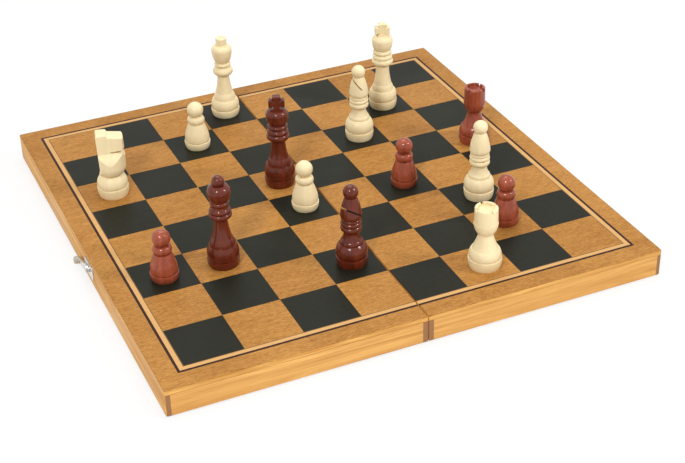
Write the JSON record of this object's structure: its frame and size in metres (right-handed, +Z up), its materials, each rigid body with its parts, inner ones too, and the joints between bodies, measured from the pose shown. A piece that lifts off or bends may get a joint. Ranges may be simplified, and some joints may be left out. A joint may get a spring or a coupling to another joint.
{
  "type": "folding chess set",
  "caption": "Folding wooden chess case opened flat as a board, with a swinging latch hook and turned chessmen standing on its squares.",
  "frame": {"origin": "midway between the two halves, at the level of the surface that the opened case stands on", "axes": "+X to the right along the front edge, +Y to the back edge, +Z up from the playing field"},
  "size_m": [0.293, 0.2866, 0.074],
  "materials": {
    "veneer": "satin lacquer, printed squares",
    "pale_wood": "satin",
    "cream_wood": "satin",
    "red_wood": "gloss lacquer",
    "steel": "bright plated"
  },
  "bodies": {
    "left_half": {"left_panel": "veneer", "left_side_wall": "pale_wood", "left_spine_wall": "pale_wood", "left_front_wall": "pale_wood", "left_back_wall": "pale_wood", "left_hinge_screws": "steel", "front_hinge_left_leaf": "steel", "back_hinge_left_leaf": "steel", "front_hinge_pin": "steel", "back_hinge_pin": "steel", "latch_plate": "steel", "latch_rivet": "steel", "latch_screws": "steel"},
    "right_half": {"right_panel": "veneer", "right_side_wall": "pale_wood", "right_spine_wall": "pale_wood", "right_front_wall": "pale_wood", "right_back_wall": "pale_wood", "right_hinge_screws": "steel", "front_hinge_right_leaf": "steel", "back_hinge_right_leaf": "steel", "catch_plate": "steel", "catch_stud": "steel", "catch_screws": "steel"},
    "latch_hook": {"latch_hook": "steel"},
    "cream_queen_d8": {"cream_queen_d8": "cream_wood"},
    "cream_king_g7": {"cream_king_g7": "cream_wood"},
    "cream_bishop_f6": {"cream_bishop_f6": "cream_wood"},
    "cream_bishop_g3": {"cream_bishop_g3": "cream_wood"},
    "cream_rook_f1": {"cream_rook_f1": "cream_wood"},
    "cream_knight_a6": {"cream_knight_a6": "cream_wood"},
    "cream_pawn_d4": {"cream_pawn_d4": "cream_wood"},
    "cream_pawn_c7": {"cream_pawn_c7": "cream_wood"},
    "dark_king_d5": {"dark_king_d5": "red_wood"},
    "dark_queen_b3": {"dark_queen_b3": "red_wood"},
    "dark_bishop_d2": {"dark_bishop_d2": "red_wood"},
    "dark_rook_h5": {"dark_rook_h5": "red_wood"},
    "dark_pawn_f4": {"dark_pawn_f4": "red_wood"},
    "dark_pawn_a3": {"dark_pawn_a3": "red_wood"},
    "dark_pawn_g2": {"dark_pawn_g2": "red_wood"}
  },
  "joints": [
    {"name": "case_fold", "type": "hinge", "parent": "left_half", "child": "right_half", "pos_m": [0, 0, 0.00125], "axis": [0, 1, 0], "range_deg": [0, 180]},
    {"name": "hook_swing", "type": "hinge", "parent": "left_half", "child": "latch_hook", "pos_m": [-0.14345, -0.014, 0.01025], "axis": [1, 0, 0], "range_deg": [-75, 105]},
    {"name": "cream_queen_d8_lift", "type": "slide", "parent": "left_half", "child": "cream_queen_d8", "axis": [0, 0, 1], "range_m": [0, 0.08]},
    {"name": "cream_king_g7_lift", "type": "slide", "parent": "right_half", "child": "cream_king_g7", "axis": [0, 0, 1], "range_m": [0, 0.08]},
    {"name": "cream_bishop_f6_lift", "type": "slide", "parent": "right_half", "child": "cream_bishop_f6", "axis": [0, 0, 1], "range_m": [0, 0.08]},
    {"name": "cream_bishop_g3_lift", "type": "slide", "parent": "right_half", "child": "cream_bishop_g3", "axis": [0, 0, 1], "range_m": [0, 0.08]},
    {"name": "cream_rook_f1_lift", "type": "slide", "parent": "right_half", "child": "cream_rook_f1", "axis": [0, 0, 1], "range_m": [0, 0.08]},
    {"name": "cream_knight_a6_lift", "type": "slide", "parent": "left_half", "child": "cream_knight_a6", "axis": [0, 0, 1], "range_m": [0, 0.08]},
    {"name": "cream_pawn_d4_lift", "type": "slide", "parent": "left_half", "child": "cream_pawn_d4", "axis": [0, 0, 1], "range_m": [0, 0.08]},
    {"name": "cream_pawn_c7_lift", "type": "slide", "parent": "left_half", "child": "cream_pawn_c7", "axis": [0, 0, 1], "range_m": [0, 0.08]},
    {"name": "dark_king_d5_lift", "type": "slide", "parent": "left_half", "child": "dark_king_d5", "axis": [0, 0, 1], "range_m": [0, 0.08]},
    {"name": "dark_queen_b3_lift", "type": "slide", "parent": "left_half", "child": "dark_queen_b3", "axis": [0, 0, 1], "range_m": [0, 0.08]},
    {"name": "dark_bishop_d2_lift", "type": "slide", "parent": "left_half", "child": "dark_bishop_d2", "axis": [0, 0, 1], "range_m": [0, 0.08]},
    {"name": "dark_rook_h5_lift", "type": "slide", "parent": "right_half", "child": "dark_rook_h5", "axis": [0, 0, 1], "range_m": [0, 0.08]},
    {"name": "dark_pawn_f4_lift", "type": "slide", "parent": "right_half", "child": "dark_pawn_f4", "axis": [0, 0, 1], "range_m": [0, 0.08]},
    {"name": "dark_pawn_a3_lift", "type": "slide", "parent": "left_half", "child": "dark_pawn_a3", "axis": [0, 0, 1], "range_m": [0, 0.08]},
    {"name": "dark_pawn_g2_lift", "type": "slide", "parent": "right_half", "child": "dark_pawn_g2", "axis": [0, 0, 1], "range_m": [0, 0.08]}
  ]
}
